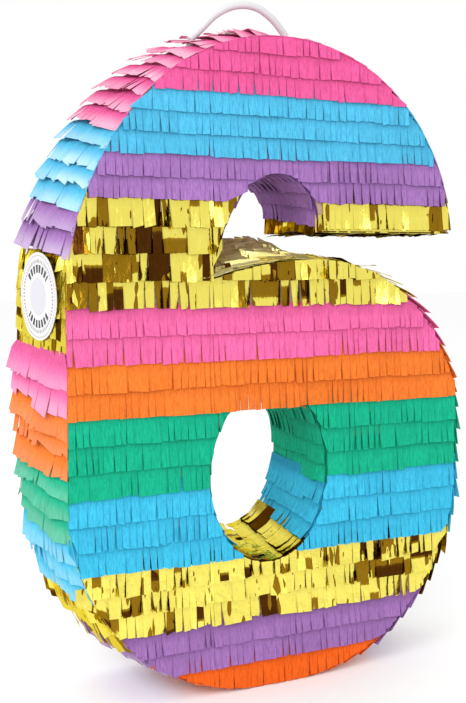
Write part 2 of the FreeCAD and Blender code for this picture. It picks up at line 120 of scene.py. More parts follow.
def make_floor():
    """Large off-white sheet that the figure stands on."""
    mesh = bpy.data.meshes.new("floor")
    reach = 6.0
    corners = [(-reach, -reach, 0), (reach, -reach, 0), (reach, reach, 0), (-reach, reach, 0)]
    mesh.from_pydata(corners, [], [(0, 1, 2, 3)])
    floor = bpy.data.objects.new("floor", mesh)
    bpy.context.scene.collection.objects.link(floor)
    material = bpy.data.materials.new("floor_white")
    material.use_nodes = True
    shader = material.node_tree.nodes["Principled BSDF"]
    shader.inputs["Base Color"].default_value = (0.97, 0.97, 0.97, 1)
    shader.inputs["Roughness"].default_value = 0.6
    mesh.materials.append(material)


# ---------------------------------------------------------------- materials

class Nodes:
    """Short way to write a node tree."""

    def __init__(self, name):
        self.material = bpy.data.materials.new(name)
        self.material.use_nodes = True
        self.tree = self.material.node_tree
        self.shader = self.tree.nodes["Principled BSDF"]

    def add(self, kind, **settings):
        node = self.tree.nodes.new("ShaderNode" + kind)
        for key, value in settings.items():
            setattr(node, key, value)
        return node

    def link(self, out, into):
        self.tree.links.new(out, into)

    def attribute(self, name):
        return self.add("Attribute", attribute_name=name)

    def scaled(self, vector, scale):
        node = self.add("VectorMath", operation="MULTIPLY")
        self.link(vector, node.inputs[0])
        node.inputs[1].default_value = scale
        return node.outputs[0]

    def noise(self, vector, scale, detail=3.0, rough=0.5):
        node = self.add("TexNoise")
        self.link(vector, node.inputs["Vector"])
        node.inputs["Scale"].default_value = scale
        node.inputs["Detail"].default_value = detail
        node.inputs["Roughness"].default_value = rough
        return node.outputs["Fac"]

    def ramp(self, value, stops, interpolation="LINEAR"):
        node = self.add("ValToRGB")
        self.link(value, node.inputs["Fac"])
        ramp = node.color_ramp
        ramp.interpolation = interpolation
        while len(ramp.elements) < len(stops):
            ramp.elements.new(0.5)
        for element, (position, colour) in zip(ramp.elements, stops):
            element.position = position
            element.color = (*colour, 1)
        return node.outputs["Color"]

    def math(self, operation, a, b):
        node = self.add("Math", operation=operation)
        for socket, value in zip(node.inputs, (a, b)):
            if isinstance(value, (int, float)):
                socket.default_value = value
            else:
                self.link(value, socket)
        return node.outputs[0]

    def mix(self, factor, a, b, blend="MIX"):
        node = self.add("Mix", data_type="RGBA", blend_type=blend)
        for socket, value in zip((node.inputs[0], node.inputs[6], node.inputs[7]), (factor, a, b)):
            if isinstance(value, (int, float)):
                socket.default_value = value
            elif isinstance(value, tuple):
                socket.default_value = (*value, 1)
            else:
                self.link(value, socket)
        return node.outputs[2]

    def bump(self, height, strength, distance):
        node = self.add("Bump")
        node.inputs["Strength"].default_value = strength
        node.inputs["Distance"].default_value = distance
        self.link(height, node.inputs["Height"])
        self.link(node.outputs["Normal"], self.shader.inputs["Normal"])


def tissue(name, colour):
    """Crepe tissue: fine grain along each tab, tabs that differ a little, painted shade under the row above
    and at the cut edges, and painted highlight towards the lifted tips.
    """
    n = Nodes(name)
    grain_at = n.attribute("tab").outputs["Vector"]
    look = n.add("SeparateXYZ")
    n.link(n.attribute("look").outputs["Vector"], look.inputs[0])
    tone, shade, pale = look.outputs
    grain = n.noise(n.scaled(grain_at, (1.0, 0.12, 1.0)), 1.6, 4.0, 0.6)
    speck = n.noise(n.scaled(grain_at, (1.0, 0.7, 1.0)), 2.4, 2.0, 0.7)
    fibre = n.math("ADD", n.math("MULTIPLY", grain, 0.6), n.math("MULTIPLY", speck, 0.4))
    blotch = n.noise(n.scaled(grain_at, (0.2, 0.1, 1.0)), 1.0, 2.0)
    deep = tuple(c * 0.62 for c in colour)
    light = tuple(min(1.0, c * 1.22 + 0.004) for c in colour)
    body = n.ramp(fibre, [(0.39, tuple(c * 0.66 for c in colour)), (0.61, light)])
    body = n.mix(n.math("MULTIPLY", blotch, 0.30), body, light)
    body = n.mix(n.math("MULTIPLY", tone, 0.34), body, deep)
    # Painted shade under the row above and at the cut edges.
    body = n.mix(shade, body, tuple(c ** 1.3 * 0.50 for c in colour))
    # Painted highlight: the tips lightened towards white.
    body = n.mix(pale, body, tuple(0.60 + 0.40 * c for c in colour))
    n.link(body, n.shader.inputs["Base Color"])
    n.shader.inputs["Roughness"].default_value = 0.8
    n.shader.inputs["Specular IOR Level"].default_value = 0.10
    n.bump(grain, 0.5, 0.0006)
    return n.material


def foil():
    """Gold film: bright, olive or brown by tab, with sharp facet-shaped patches where it is creased; these
    colours are painted reflections of bright and dark surroundings.
    """
    n = Nodes("gold_foil")
    place = n.attribute("tab").outputs["Vector"]
    look = n.add("SeparateXYZ")
    n.link(n.attribute("look").outputs["Vector"], look.inputs[0])
    tone, shade, pale = look.outputs
    crumple = n.add("TexVoronoi", feature="F1")
    n.link(n.scaled(place, (0.42, 0.10, 1.0)), crumple.inputs["Vector"])
    crumple.inputs["Scale"].default_value = 1.0
    cell = n.add("SeparateColor")
    n.link(crumple.outputs["Color"], cell.inputs[0])
    flake = n.add("TexVoronoi", feature="F1")
    n.link(n.scaled(place, (0.9, 0.30, 1.0)), flake.inputs["Vector"])
    flake.inputs["Scale"].default_value = 1.0
    chip = n.add("SeparateColor")
    n.link(flake.outputs["Color"], chip.inputs[0])
    # Facet-shaped jumps to darker and brighter painted reflection.
    jump = n.math("MULTIPLY", n.math("GREATER_THAN", cell.outputs[0], 0.955), 0.42)
    drop = n.math("MULTIPLY", n.math("GREATER_THAN", cell.outputs[1], 0.94), -0.42)
    speck = n.math("MULTIPLY", n.math("GREATER_THAN", chip.outputs[0], 0.985), 0.45)
    level = n.math("ADD", tone, n.math("ADD", jump, n.math("ADD", drop, speck)))
    level = n.math("ADD", level, n.math("MULTIPLY", n.math("SUBTRACT", chip.outputs[1], 0.5), 0.10))
    # Bright gold, olive and dark brown: painted reflections of bright and dark surroundings.
    gold = n.ramp(level, [
        (0.00, (0.90, 0.79, 0.15)), (0.26, (0.82, 0.69, 0.10)), (0.30, (0.33, 0.19, 0.010)),
        (0.60, (0.24, 0.125, 0.006)), (0.66, (0.10, 0.042, 0.004)), (0.95, (0.065, 0.020, 0.003)),
    ])
    # Painted shade under the row above and at the cut edges.
    gold = n.mix(shade, gold, (0.060, 0.016, 0.003))
    # Painted highlight towards the tips, which also makes the film less metallic.
    gold = n.mix(pale, gold, (0.98, 0.89, 0.40))
    n.link(gold, n.shader.inputs["Base Color"])
    n.link(n.math("SUBTRACT", 1.0, n.math("MULTIPLY", pale, 0.45)), n.shader.inputs["Metallic"])
    n.shader.inputs["Roughness"].default_value = 0.22
    n.shader.inputs["Specular Tint"].default_value = (0.80, 0.66, 0.25, 1)
    wrinkle = n.noise(n.scaled(place, (0.5, 0.25, 1.0)), 1.0, 3.0, 0.5)
    n.bump(wrinkle, 0.35, 0.0010)
    return n.material


def cardboard():
    """Brown board with a faint fibre grain."""
    n = Nodes("brown_board")
    where = n.add("TexCoord").outputs["Object"]
    fibre = n.noise(n.scaled(where, (900, 250, 900)), 1.0, 5.0, 0.7)
    patch = n.noise(where, 25.0, 2.0)
    body = n.ramp(fibre, [(0.30, (0.33, 0.21, 0.12)), (0.70, (0.50, 0.35, 0.21))])
    body = n.mix(n.math("MULTIPLY", patch, 0.4), body, (0.56, 0.41, 0.26))
    n.link(body, n.shader.inputs["Base Color"])
    n.shader.inputs["Roughness"].default_value = 0.85
    n.bump(fibre, 0.2, 0.0003)
    return n.material


def label_paper():
    """White coated paper, printed with plain rings of dots and dashes."""
    n = Nodes("label_print")
    spot = n.add("SeparateXYZ")
    n.link(n.attribute("print").outputs["Vector"], spot.inputs[0])
    ring, turn = spot.outputs[:2]

    def band(low, high):
        return n.math("MULTIPLY", n.math("GREATER_THAN", ring, low), n.math("LESS_THAN", ring, high))

    def dashes(count, share):
        part = n.math("FRACT", n.math("MULTIPLY", turn, count), 0.0)
        return n.math("LESS_THAN", part, share)

    dots = n.math("MULTIPLY", band(0.91, 0.945), dashes(96.0, 0.5))
    fine = n.math("MULTIPLY", band(0.76, 0.84), dashes(60.0, 0.5))
    bold = n.math("MULTIPLY", band(0.54, 0.72), dashes(26.0, 0.62))
    upright = n.math("ABSOLUTE", n.math("COSINE", n.math("MULTIPLY", turn, 2 * math.pi), 0.0), 0.0)
    bold = n.math("MULTIPLY", bold, n.math("GREATER_THAN", upright, 0.62))
    ink = n.math("MAXIMUM", n.math("MULTIPLY", n.math("MAXIMUM", dots, fine), 0.6), bold)
    fleck = n.noise(n.attribute("print").outputs["Vector"], 40.0, 2.0)
    white = n.ramp(fleck, [(0.3, (0.60, 0.59, 0.59)), (0.7, (0.65, 0.64, 0.64))])
    white = n.mix(n.math("LESS_THAN", ring, 0.44), white, (0.53, 0.52, 0.56))
    n.link(n.mix(ink, white, (0.03, 0.03, 0.035)), n.shader.inputs["Base Color"])
    n.shader.inputs["Roughness"].default_value = 0.5
    n.shader.inputs["Specular IOR Level"].default_value = 0.3
    return n.material


def cord_yarn():
    """White braid: slanting bands of yarn."""
    n = Nodes("white_braid")
    place = n.attribute("tab").outputs["Vector"]
    weave = n.add("TexWave", wave_type="BANDS", bands_direction="DIAGONAL")
    n.link(place, weave.inputs["Vector"])
    weave.inputs["Scale"].default_value = 0.8
    body = n.ramp(weave.outputs["Fac"], [(0.1, (0.60, 0.61, 0.62)), (0.7, (0.84, 0.85, 0.86))])
    n.link(body, n.shader.inputs["Base Color"])
    n.shader.inputs["Roughness"].default_value = 0.8
    n.shader.inputs["Specular IOR Level"].default_value = 0.15
    n.bump(weave.outputs["Fac"], 0.5, 0.0004)
    return n.material


MATERIALS = {
    "tissue_pink": tissue("pink_tissue", (0.704, 0.092, 0.282)),
    "tissue_pink_deep": tissue("deep_pink_tissue", (0.748, 0.123, 0.326)),
    "tissue_blue": tissue("blue_tissue", (0.070, 0.422, 0.651)),
    "tissue_blue_deep": tissue("deep_blue_tissue", (0.040, 0.440, 0.669)),
    "tissue_purple": tissue("purple_tissue", (0.308, 0.145, 0.396)),
    "tissue_orange": tissue("orange_tissue", (0.774, 0.172, 0.022)),
    "tissue_orange_deep": tissue("deep_orange_tissue", (0.792, 0.114, 0.008)),
    "tissue_green": tissue("green_tissue", (0.004, 0.378, 0.211)),
    "foil_gold": foil(),
    "cardboard": cardboard(),
    "label_paper": label_paper(),
    "cord": cord_yarn(),
}


# ---------------------------------------------------------------- the figure's outline

def smooth(t):
    """0 below 0, 1 above 1, and an S-curve between."""
    t = min(1.0, max(0.0, t))
    return t * t * (3 - 2 * t)


def panel_loops():
    """Outline and hole of the cardboard figure as loops of (x, z), read from the front panel."""
    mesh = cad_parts["front_panel"].data
    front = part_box("front_panel")[0].y

    def key(index):
        co = mesh.vertices[index].co
        return (round(co.x, 6), round(co.z, 6))

    count = {}
    for face in mesh.polygons:
        if all(abs(mesh.vertices[i].co.y - front) < 1e-5 for i in face.vertices):
            ring = [key(i) for i in face.vertices]
            for a, b in zip(ring, ring[1:] + ring[:1]):
                if a != b:
                    count.setdefault(frozenset((a, b)), []).append((a, b))
    after = {}
    for uses in count.values():
        if len(uses) == 1:
            after[uses[0][0]] = uses[0][1]
    loops = []
    while after:
        start = next(iter(after))
        ring = [start]
        step = after.pop(start)
        while step != start:
            ring.append(step)
            step = after.pop(step)
        loops.append([Vector(p) for p in ring])
    loops.sort(key=len)

    def area(ring):
        return sum(a.x * b.y - b.x * a.y for a, b in zip(ring, ring[1:] + ring[:1])) / 2

    outline, hole = sorted(loops, key=lambda ring: abs(area(ring)), reverse=True)[:2]
    if area(outline) < 0:
        outline.reverse()
    if area(hole) > 0:
        hole.reverse()
    return outline, hole


def grown(ring, distance):
    """The loop moved to its right-hand side, away from the cardboard, by distance(point)."""
    moved = []
    for before, here, after in zip(ring[-1:] + ring[:-1], ring, ring[1:] + ring[:1]):
        a = (here - before).normalized()
        b = (after - here).normalized()
        side = Vector((a.y + b.y, -a.x - b.x)).normalized()
        stretch = max(0.5, side.dot(Vector((a.y, -a.x))))
        moved.append(here + side * (distance(here) / stretch))
    return moved


def near_notch(point):
    """Whether a point of the outline faces the notch."""
    return abs(point.x) < NOTCH_HALF and point.y > NOTCH_FLOOR and point.y < NOTCH_ROOF or (
        point.x > 0 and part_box("ledge_wall")[1].z < point.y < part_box("terminal_wall")[1].z)


OUTLINE, HOLE = panel_loops()
NOTCH_HALF = -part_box("notch_wall")[0].x
NOTCH_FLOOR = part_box("ledge_wall")[0].z
NOTCH_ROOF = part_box("notch_wall")[1].z
FACE_EDGES = [grown(OUTLINE, lambda p: INNER_GROW if near_notch(p) else FACE_GROW),
              grown(HOLE, lambda p: INNER_GROW)]


def solid_spans(x):
    """Stretches of z where the face is solid at x, lowest first."""
    cuts = []
    for ring in FACE_EDGES:
        for a, b in zip(ring, ring[1:] + ring[:1]):
            if (a.x > x) != (b.x > x):
                cuts.append(a.y + (b.y - a.y) * (x - a.x) / (b.x - a.x))
    cuts.sort()
    return list(zip(cuts[::2], cuts[1::2]))


class Walk:
    """A way along the wall from one point of a loop to another, measured in metres."""

    def __init__(self, ring, start, end, forwards):
        self.side = 1 if forwards else -1
        order = ring if forwards else ring[::-1]
        first = min(range(len(order)), key=lambda i: (order[i] - start).length)
        order = order[first:] + order[:first]
        last = min(range(1, len(order)), key=lambda i: (order[i] - end).length)
        self.points = order[:last + 1]
        self.marks = [0.0]
        for a, b in zip(self.points, self.points[1:]):
            self.marks.append(self.marks[-1] + (b - a).length)
        self.length = self.marks[-1]

    def point(self, s):
        if s <= 0:
            way = (self.points[1] - self.points[0]).normalized()
            return self.points[0] + way * s
        if s >= self.length:
            way = (self.points[-1] - self.points[-2]).normalized()
            return self.points[-1] + way * (s - self.length)
        low, high = 0, len(self.marks) - 1
        while high - low > 1:
            middle = (low + high) // 2
            if self.marks[middle] <= s:
                low = middle
            else:
                high = middle
        part = (s - self.marks[low]) / (self.marks[high] - self.marks[low])
        return self.points[low].lerp(self.points[high], part)

    def frame(self, s):
        """Point, direction of travel and direction away from the cardboard."""
        reach = 3 * MM
        way = (self.point(s + reach) - self.point(s - reach)).normalized()
        return self.point(s), way, Vector((way.y, -way.x)) * self.side

    def reach(self, z):
        """Distance at which the walk first comes down to the level z."""
        for index, (a, b) in enumerate(zip(self.points, self.points[1:])):
            if a.y >= z > b.y:
                return self.marks[index] + (b - a).length * (a.y - z) / (a.y - b.y)
        return self.length


def corners():
    """The three sharp corners: foot of the notch, inner and outer end of the top stroke."""
    found = []
    for before, here, after in zip(OUTLINE[-1:] + OUTLINE[:-1], OUTLINE, OUTLINE[1:] + OUTLINE[:1]):
        if (here - before).angle(after - here) > math.radians(40):
            found.append(here)
    found.sort(key=lambda p: p.x)
    return found


# ---------------------------------------------------------------- tabs of fringe

class Sheaf:
    """Collects the tabs of one piece and turns them into a mesh."""

    def __init__(self):
        self.points = []
        self.faces = []
        self.tab = []
        self.look = []

    def grid(self, upper, lower, tab, look, flip):
        """A thin closed tab from two grids of points of the same size."""
        rows = len(upper)
        columns = len(upper[0])
        base = len(self.points)
        for layer in (upper, lower):
            for row in layer:
                self.points.extend(row)
        for _ in range(2):
            for row in tab:
                self.tab.extend(row)
            for row in look:
                self.look.extend(row)
        under = base + rows * columns
        quads = []
        for r in range(rows - 1):
            for c in range(columns - 1):
                a = base + r * columns + c
                quads.append((a, a + columns, a + columns + 1, a + 1))
                b = under + r * columns + c
                quads.append((b, b + 1, b + columns + 1, b + columns))
        rim = [(0, c) for c in range(columns)]
        rim += [(r, columns - 1) for r in range(1, rows)]
        rim += [(rows - 1, c) for c in range(columns - 2, -1, -1)]
        rim += [(r, 0) for r in range(rows - 2, 0, -1)]
        for (r1, c1), (r2, c2) in zip(rim, rim[1:] + rim[:1]):
            a = r1 * columns + c1
            b = r2 * columns + c2
            quads.append((base + a, base + b, under + b, under + a))
        if flip:
            quads = [q[::-1] for q in quads]
        self.faces.extend(quads)

    def piece(self, name, slot, body, *nodes):
        mesh = bpy.data.meshes.new(name)
        mesh.from_pydata([above_floor(p) for p in self.points], [], self.faces)
        for key, values in (("tab", self.tab), ("look", self.look)):
            layer = mesh.attributes.new(key, "FLOAT_VECTOR", "POINT")
            layer.data.foreach_set("vector", [x for v in values for x in v])
        mesh.materials.append(MATERIALS[slot])
        item = bpy.data.objects.new(name, mesh)
        bpy.context.scene.collection.objects.link(item)
        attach(item, body)
        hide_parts(*nodes)
        return item


def above_floor(point):
    """Fringe under the figure is pressed flat and never reaches the floor."""
    soft = 0.6 * MM
    least = 0.15 * MM
    if point.z >= soft:
        return point
    return Vector((point.x, point.y, least + (soft - least) * math.exp((point.z - soft) / (soft - least))))


# How a row of tabs is made. Lengths in metres; rise, lift, spread and twist are at a tab's tip.
# afloat is the share of flare that a tab already has at its root, and press scales its whole height.
# shade darkens a tab where the row above covers it and edge darkens its cut edges, both painted shade; the
# tip-lightening value is a painted highlight.
TISSUE_STYLE = {
    "thick": PAPER, "root": 0.35 * MM, "rise": 1.4 * MM, "lift": 0.8 * MM, "spread": 0.6 * MM,
    "gap": 0.45 * MM, "ragged": 0.45 * MM, "twist": 0.35 * MM, "header": 0.30, "lean": 0.25 * MM,
    "curl": 0.0, "crumple": 0.0, "group": 4, "stations": 6, "width": TAB_WIDTH, "wide": 0.10,
    "pale": 0.0, "shade": 0.35, "wave": 0.4 * MM, "bend": 1.6,
    "dark": None, "flare": lambda u: 0.0, "slant": 0.25 * MM, "split": 0.0, "pale_from": 0.38,
    "edge": 0.7, "afloat": 0.0, "face": 0.0, "press": lambda u: 1.0,
}
EDGE_SHARE = 0.10                           # outer part of a tab that is shaded by its neighbour
GAPS = (0.06, 0.08, 0.12, 0.2, 0.45, 1.2)   # most cuts stay shut, a few open up


def style(**changes):
    """The tissue style with some of its values changed."""
    made = dict(TISSUE_STYLE)
    made.update(changes)
    return made


class Sheet:
    """A few neighbouring tabs that were glued and lifted together."""

    def __init__(self, rng, look):
        self.left = rng.randint(2, 2 * look["group"] - 1)
        self.lift = look["lift"] * rng.uniform(0.0, 1.0) ** 1.5
        self.tilt = rng.gauss(0, 1) * look["twist"]
        self.long = rng.gauss(0, 0.6) * look["ragged"]
        self.tone = rng.uniform(0, 1)
        self.pale = look["pale"] * rng.uniform(0.55, 1.0)


def fringe_row(sheaf, rng, place, low, high, length, look, trim=None, stops=()):
    """One row of tabs between the stretches low and high, with a cut at each of the stops.

    place(u, d, h) is the point at u along the row, d down the tab and h off the surface.
    trim(left, right) gives the parts of d where a tab may be; without it the tab is whole."""
    origin = place((low + high) / 2, 0.5 * length, MM)
    across = place((low + high) / 2 + MM, 0.5 * length, MM) - origin
    down = place((low + high) / 2, 0.5 * length + MM, MM) - origin
    off = place((low + high) / 2, 0.5 * length, 2 * MM) - origin
    flip = across.cross(down).dot(off) > 0
    seed = rng.uniform(0, 100)
    u = low
    sheet = Sheet(rng, look)
    while u < high - 0.4 * look["width"]:
        if sheet.left <= 0:
            sheet = Sheet(rng, look)
        sheet.left -= 1
        width = look["width"] * rng.uniform(0.72, 1.35)
        if rng.uniform(0, 1) < look["wide"]:
            width *= rng.uniform(1.8, 3.2)
        end = min(high, u + width)
        if high - end < 0.45 * look["width"]:
            end = high
        for stop in stops:
            if u + 0.2 * MM < stop < end + 0.4 * look["width"]:
                end = stop
        middle = (u + end) / 2
        wave = noise.noise(Vector((middle * 60, seed, 0)))
        tab = {
            "left": u, "right": end, "length": length, "seed": seed,
            "lift": sheet.lift + look["spread"] * rng.uniform(0, 1) ** 3,
            "twist": sheet.tilt + rng.gauss(0, 0.3) * look["twist"],
            "long": sheet.long + rng.gauss(0, 0.35) * look["ragged"] + wave * look["ragged"],
            "gap_left": look["gap"] * rng.choice(GAPS),
            "gap_right": look["gap"] * rng.choice(GAPS),
            "lean": rng.gauss(0, 1) * look["lean"],
            "curl": look["curl"] * rng.uniform(-0.3, 1.0),
            "tone": 0.5 * sheet.tone + 0.5 * rng.uniform(0, 1),
            "pale": sheet.pale * rng.uniform(0.85, 1.0), "crease": rng.uniform(0, 50),
            "slant": rng.gauss(0, 1) * look["slant"], "edge": look["edge"] * rng.uniform(0.2, 1.0),
        }
        if look["dark"]:
            tab["tone"] = look["dark"](middle, rng.uniform(0, 1))
            if tab["tone"] == DARK:
                tab["pale"] = 0.0
            if rng.uniform(0, 1) < look["split"]:
                tab["fold"] = rng.uniform(0.5, 0.9)
                tab["tone_low"] = look["dark"](middle, 0.7 * rng.uniform(0, 1))
        spans = trim(u, end) if trim else [((0.0, 0.0), (length, length))]
        for span in spans:
            add_tab(sheaf, place, tab, look, span, flip)
        u = end


def add_tab(sheaf, place, tab, look, span, flip):
    """One tab: uncut at its glued top, then parted from its neighbours, lifting to its tip."""
    (top_left, top_right), (bottom_left, bottom_right) = span
    length = tab["length"]
    width = tab["right"] - tab["left"]
    inner = max(1, int(width / (3 * MM)))
    across = [0.0, EDGE_SHARE]
    across += [EDGE_SHARE + (1 - 2 * EDGE_SHARE) * (k + 1) / (inner + 1) for k in range(inner)]
    across += [1 - EDGE_SHARE, 1.0]
    upper, lower, tabs, looks = [], [], [], []
    for j in range(look["stations"]):
        v = j / (look["stations"] - 1)
        row_up, row_low, row_tab, row_look = [], [], [], []
        for c in across:
            d0 = top_left + (top_right - top_left) * c
            d1 = bottom_left + (bottom_right - bottom_left) * c
            whole = d1 > length - 0.5 * MM
            d = d0 + (d1 + (tab["long"] if whole else 0.2 * tab["long"]) - d0) * v
            d += tab["slant"] * (c - 0.5) * 2 * v * v * (1.0 if whole else 0.0)
            t = d / length
            parted = smooth((t - look["header"]) / (1 - look["header"]))
            left = tab["left"] + tab["gap_left"] * parted
            right = tab["right"] - tab["gap_right"] * parted
            u = left + (right - left) * c + tab["lean"] * t * t
            swell = noise.noise(Vector((u * 75, tab["seed"], 7.0))) + 0.4
            h = look["root"] + look["rise"] * t + tab["curl"] * max(0, t - 0.5) ** 2 * 4
            h += look["flare"](u) * (look["afloat"] + (1 - look["afloat"]) * smooth(t / COVERED))
            h += (tab["lift"] + look["wave"] * swell) * t ** look["bend"]
            h += tab["twist"] * (c - 0.5) * t * 2 + look["face"] * c
            if look["crumple"]:
                h += look["crumple"] * noise.noise(Vector((u * 260, d * 170, tab["crease"]))) * (0.3 + t)
            h = max(h * look["press"](u), 0.15 * MM)
            row_up.append(place(u, d, h + look["thick"]))
            row_low.append(place(u, d, h))
            row_tab.append((u / MM, d / MM, tab["crease"]))
            # Painted shade at the cut edges and under the row above; the third value is painted highlight
            # towards the tip.
            edge = tab["edge"] if c in (0.0, 1.0) else 0.0
            under_row_shade = look["shade"] * (1 - smooth((t - 0.30) / 0.22))
            tone = tab["tone_low"] if t > tab.get("fold", 9.0) else tab["tone"]
            row_look.append((tone, under_row_shade + edge * parted,
                             tab["pale"] * smooth((t - look["pale_from"]) / 0.50)))
        upper.append(row_up)
        lower.append(row_low)
        tabs.append(row_tab)
        looks.append(row_look)
    sheaf.grid(upper, lower, tabs, looks, flip)


def face_trim(root, length, overhang):
    """Trims the tabs of a face row to the figure; the lowest part may hang past an edge."""

    def spans_at(x):
        return [(max(0.0, root - high), min(length, root - low + overhang)) for low, high in solid_spans(x)]

    def trim(left, right):
        inset = 0.15 * (right - left)
        kept = []
        sides = (spans_at(left + inset), spans_at(right - inset))
        for top, bottom in spans_at((left + right) / 2):
            if bottom - top < 2.5 * MM or top > length - 1.5 * MM:
                continue
            tops, bottoms = [], []
            for spans in sides:
                near = [s for s in spans if s[1] > s[0] and s[0] < bottom and s[1] > top]
                best = near[0] if near else (top, bottom)
                tops.append(best[0])
                bottoms.append(best[1])
            kept.append((tuple(tops), tuple(bottoms)))
        return kept

    return trim


def face_place(side, root):
    """Tabs on the front (side -1) or the back (side 1)."""

    def place(u, d, h):
        return Vector((u, side * (FACE_Y + h), root - d))

    return place


def wall_place(walk, root, cling=1.0, skew=0.0, pile=None):
    """Tabs on a wall, hanging along the walk.

    cling 1 follows every bend and 0 stands straight off it. The rows run lower at the front by
    skew. pile(u, s) is the height of what lies under them."""
    start, way, away = walk.frame(root)

    def place(u, d, h):
        along = d - skew * u
        here, _, out = walk.frame(root + along)
        if pile:
            h = h + pile(u, root + along)
        close = here + out * h
        free = start + way * along + away * h
        spot = close * cling + free * (1 - cling)
        return Vector((spot.x, u, spot.y))

    return place


FOIL_CHANGES = {
    "thick": FOIL, "gap": 0.4 * MM, "twist": 0.8 * MM, "lift": 0.8 * MM, "crumple": 0.35 * MM,
    "width": 5.4 * MM, "stations": 8, "ragged": 0.8 * MM, "group": 2, "lean": 0.35 * MM, "shade": 0.2,
    "wide": 0.16, "split": 0.5, "slant": 0.35 * MM,
}
# Levels of painted reflection on foil tabs: bright gold, olive and dark brown.
BRIGHT, MIDDLE, DARK = 0.1, 0.5, 0.9
DARK_REFLECTION_RIGHT = 0.13                           # share of tabs in the upper gold band that aren't bright
DARK_REFLECTION_MORE_LEFT = 0.42                       # and how much it grows near the left edge
DARK_REFLECTION_REACH = 0.105                          # metres from the left edge where that growth starts
DARK_REFLECTION_FADE = 0.05                            # and the distance over which it takes effect
DARK_REFLECTION_LOWER = 0.17                           # the same share in the lower gold band


def painted_foil_reflection(chance, share):
    """Bright, olive or brown painted reflection of a foil tab; share is how many aren't bright."""
    if chance < share * 0.4:
        return DARK
    if chance < share:
        return MIDDLE
    return BRIGHT


def face_style(band):
    """Style of a band on the front or the back."""
    if band == "04_gold":
        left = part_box("front_panel")[0].x

        # More of the dark painted reflection near the left edge of the upper band.
        def dark(u, chance):
            return painted_foil_reflection(chance, DARK_REFLECTION_RIGHT + DARK_REFLECTION_MORE_LEFT * smooth((left + DARK_REFLECTION_REACH - u) / DARK_REFLECTION_FADE))
        return style(dark=dark, **FOIL_CHANGES)
    if band == "09_gold":
        return style(dark=lambda u, chance: painted_foil_reflection(chance, DARK_REFLECTION_LOWER), **FOIL_CHANGES)
    return style()


HOLE_OVERHANG = 20 * MM                     # orange tabs that hang into the top of the hole
EDGE_OVERHANG = 0.6 * MM
SHORT_OVERLAP = 1.12                        # in place of OVERLAP where a row starts under foil


def make_faces():
    """The eleven bands on the front, and the same on the back."""
    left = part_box("front_panel")[0].x - FACE_GROW
    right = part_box("front_panel")[1].x + FACE_GROW
    stops = [pick(p.x for p in FACE_EDGES[1]) for pick in (min, max)]
    stops += [min(p.x for p in FACE_EDGES[0] if near_notch(p)), corners()[0].x + INNER_GROW]
    for side, word in ((-1, "front"), (1, "back")):
        rng = random.Random(11 + side)
        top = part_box("front_fringe_01_pink")[1].z
        for band in BANDS:
            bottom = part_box("front_fringe_" + band)[0].z
            pitch = (top - bottom) / FACE_ROWS[band]
            sheaf = Sheaf()
            for row in range(FACE_ROWS[band]):
                tip = top - (row + 1) * pitch
                root = tip + pitch * OVERLAP
                if row == 0 and band in UNDER_FOIL:
                    root = tip + pitch * SHORT_OVERLAP
                length = root - tip
                over_hole = band == "06_orange" and row == 1
                overhang = HOLE_OVERHANG if over_hole else EDGE_OVERHANG
                look = face_style(band)
                if over_hole:
                    look.update(gap=0.0, slant=0.0, lean=0.0)
                place = face_place(side, root)
                trim = face_trim(root, length, overhang)
                fringe_row(sheaf, rng, place, left, right, length, look, trim, stops)
            node = word + "_fringe_" + band
            sheaf.piece("tabs_" + node, SLOTS[band], "figure", node)
            top = bottom


def walks():
    """The ways down the outside of the figure, the notch, the ledge and the hole."""
    notch_foot, stroke_inner, stroke_outer = corners()
    crown = max(OUTLINE, key=lambda p: p.y)
    base = min(OUTLINE, key=lambda p: (round(p.y, 4), abs(p.x)))
    ledge = Vector((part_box("ledge_fringe_gold")[1].x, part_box("ledge_wall")[1].z))
    arch = max((p for p in OUTLINE if notch_foot.x < p.x < stroke_inner.x and p.y < NOTCH_ROOF),
               key=lambda p: p.y)
    hole_top = max(HOLE, key=lambda p: p.y)
    hole_base = min(HOLE, key=lambda p: p.y)
    return {
        "left": Walk(OUTLINE, crown, base, True),
        "stroke_end": Walk(OUTLINE, crown, stroke_outer, False),
        "right": Walk(OUTLINE, ledge, base, False),
        "notch_left": Walk(OUTLINE, arch, notch_foot, False),
        "notch_right": Walk(OUTLINE, arch, stroke_inner, True),
        "ledge": Walk(OUTLINE, ledge, notch_foot, True),
        "underside": Walk(OUTLINE, stroke_outer, stroke_inner, False),
        "hole_left": Walk(HOLE, hole_top, hole_base, False),
        "hole_right": Walk(HOLE, hole_top, hole_base, True),
    }


def band_rows(start, end, pitch):
    """Distances at which the tabs of each row in a band end, and their spacing."""
    count = max(1, round((end - start) / pitch))
    return [(start + (end - start) * (row + 1) / count, (end - start) / count) for row in range(count)]


HALF = FACE_Y - 0.3 * MM                    # half the width of a lining
SIDE_SKEW = 0.11                            # rows run down towards the front
SIDE_REACH = FACE_Y + 2.0 * MM              # side tabs also hide the edges of both faces
# How much painted highlight lightens the tips, by wall and by colour; most on the left wall, which faces the
# key light.
HIGHLIGHT_BY_WALL = {"left": 1.0, "stroke_end": 0.5, "right": 0.4}
HIGHLIGHT_BY_TISSUE = {"pink": 0.60, "blue": 0.65, "purple": 0.50, "orange": 0.20, "green": 0.35, "gold": 0.0}


# Heights, in metres, at which the side tabs change.
FOOT = 0.040
LOWER_HALF = 0.21
UPPER_HALF = 0.24
CROWN = 0.385
BACK_FLARE = 11.0                           # mm off the left wall at its back edge
STROKE_END_FLARE = 4.0                      # mm off the wall at the upper right


def front_press(u):
    """Side tabs lie against the wall at its front edge, where the front face ends."""
    return 0.12 + 0.88 * smooth((u + SIDE_REACH) / (0.5 * SIDE_REACH))


